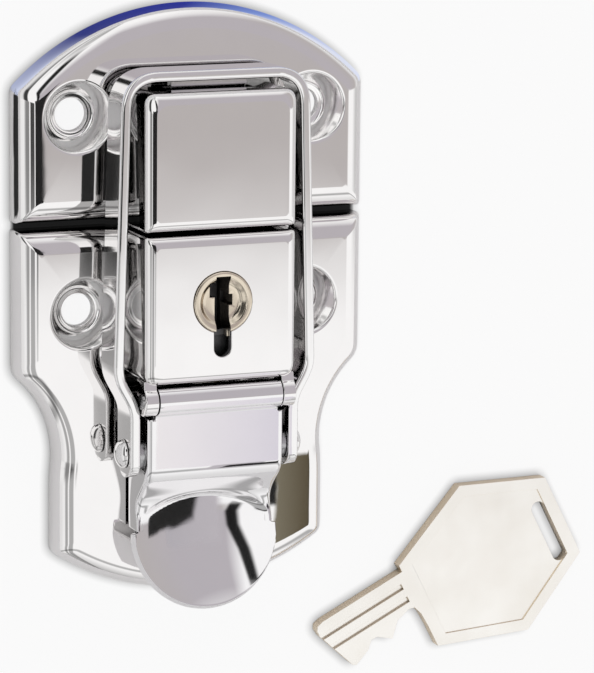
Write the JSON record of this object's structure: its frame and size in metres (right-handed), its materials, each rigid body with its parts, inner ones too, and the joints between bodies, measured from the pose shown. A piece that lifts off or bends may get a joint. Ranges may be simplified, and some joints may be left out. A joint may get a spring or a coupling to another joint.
{
  "type": "lockable draw latch",
  "caption": "Nickel-plated pressed-steel draw latch for a case: catch plate, base plate with key lock, spoon-tabbed over-centre lever, hinged bail and a flat key.",
  "frame": {"origin": "on the case's surface, at the middle of the base plate's seam edge", "axes": "+X across the latch to the right, +Y along the latch towards the catch plate and the lid, +Z out from the case"},
  "size_m": [0.0958, 0.1061, 0.0168],
  "materials": {
    "plate_nickel": "bright nickel plate on pressed steel",
    "box_nickel": "bright nickel plate on pressed steel",
    "lever_nickel": "bright nickel plate on pressed steel",
    "bail_nickel": "bright nickel plate on bent strip",
    "plug_brass": "thin nickel on brass",
    "plain_steel": "plain mill steel",
    "key_nickel": "satin nickel plate"
  },
  "bodies": {
    "plates": {"catch_plate": "plate_nickel", "catch_box": "box_nickel", "base_plate": "plate_nickel", "lock_case": "box_nickel", "lock_frame": "plain_steel", "frame_rivets": "plain_steel", "bolt_guide": "plain_steel", "plug_spring_washer": "plain_steel", "lever_hinge_pin": "plain_steel"},
    "lever_arm": {"lever": "lever_nickel", "bolt_keeper": "plain_steel", "bail_rivet_left": "bail_nickel", "bail_rivet_right": "bail_nickel", "bail_washer_left": "plain_steel", "bail_washer_right": "plain_steel"},
    "bail_frame": {"bail": "bail_nickel"},
    "plug": {"lock_plug": "plug_brass", "drive_cam": "plain_steel"},
    "bolt": {"lock_bolt": "plain_steel"},
    "loose_key": {"key": "key_nickel"}
  },
  "joints": [
    {"name": "lever_hinge", "type": "hinge", "parent": "plates", "child": "lever_arm", "pos_m": [0, -0.0248, 0.0143], "axis": [-1, 0, 0], "range_deg": [0, 105]},
    {"name": "bail_hinge", "type": "hinge", "parent": "lever_arm", "child": "bail_frame", "pos_m": [0, -0.03335, 0.01055], "axis": [-1, 0, 0], "range_deg": [-92, 2]},
    {"name": "plug_turn", "type": "hinge", "parent": "plates", "child": "plug", "pos_m": [0, -0.01, 0.0165], "axis": [0, 0, -1], "range_deg": [0, 90]},
    {"name": "bolt_slide", "type": "slide", "parent": "plates", "child": "bolt", "axis": [0, -1, 0], "range_m": [0, 0.0058]},
    {"name": "key_lift", "type": "slide", "parent": "plates", "child": "loose_key", "axis": [0, 0, 1], "range_m": [0, 0.03]}
  ],
  "couplings": [
    {"joint": "bail_hinge", "follows": "lever_hinge", "ratio": -0.86},
    {"joint": "plug_turn", "follows": "bolt_slide", "rad_per_m": 270.9}
  ]
}
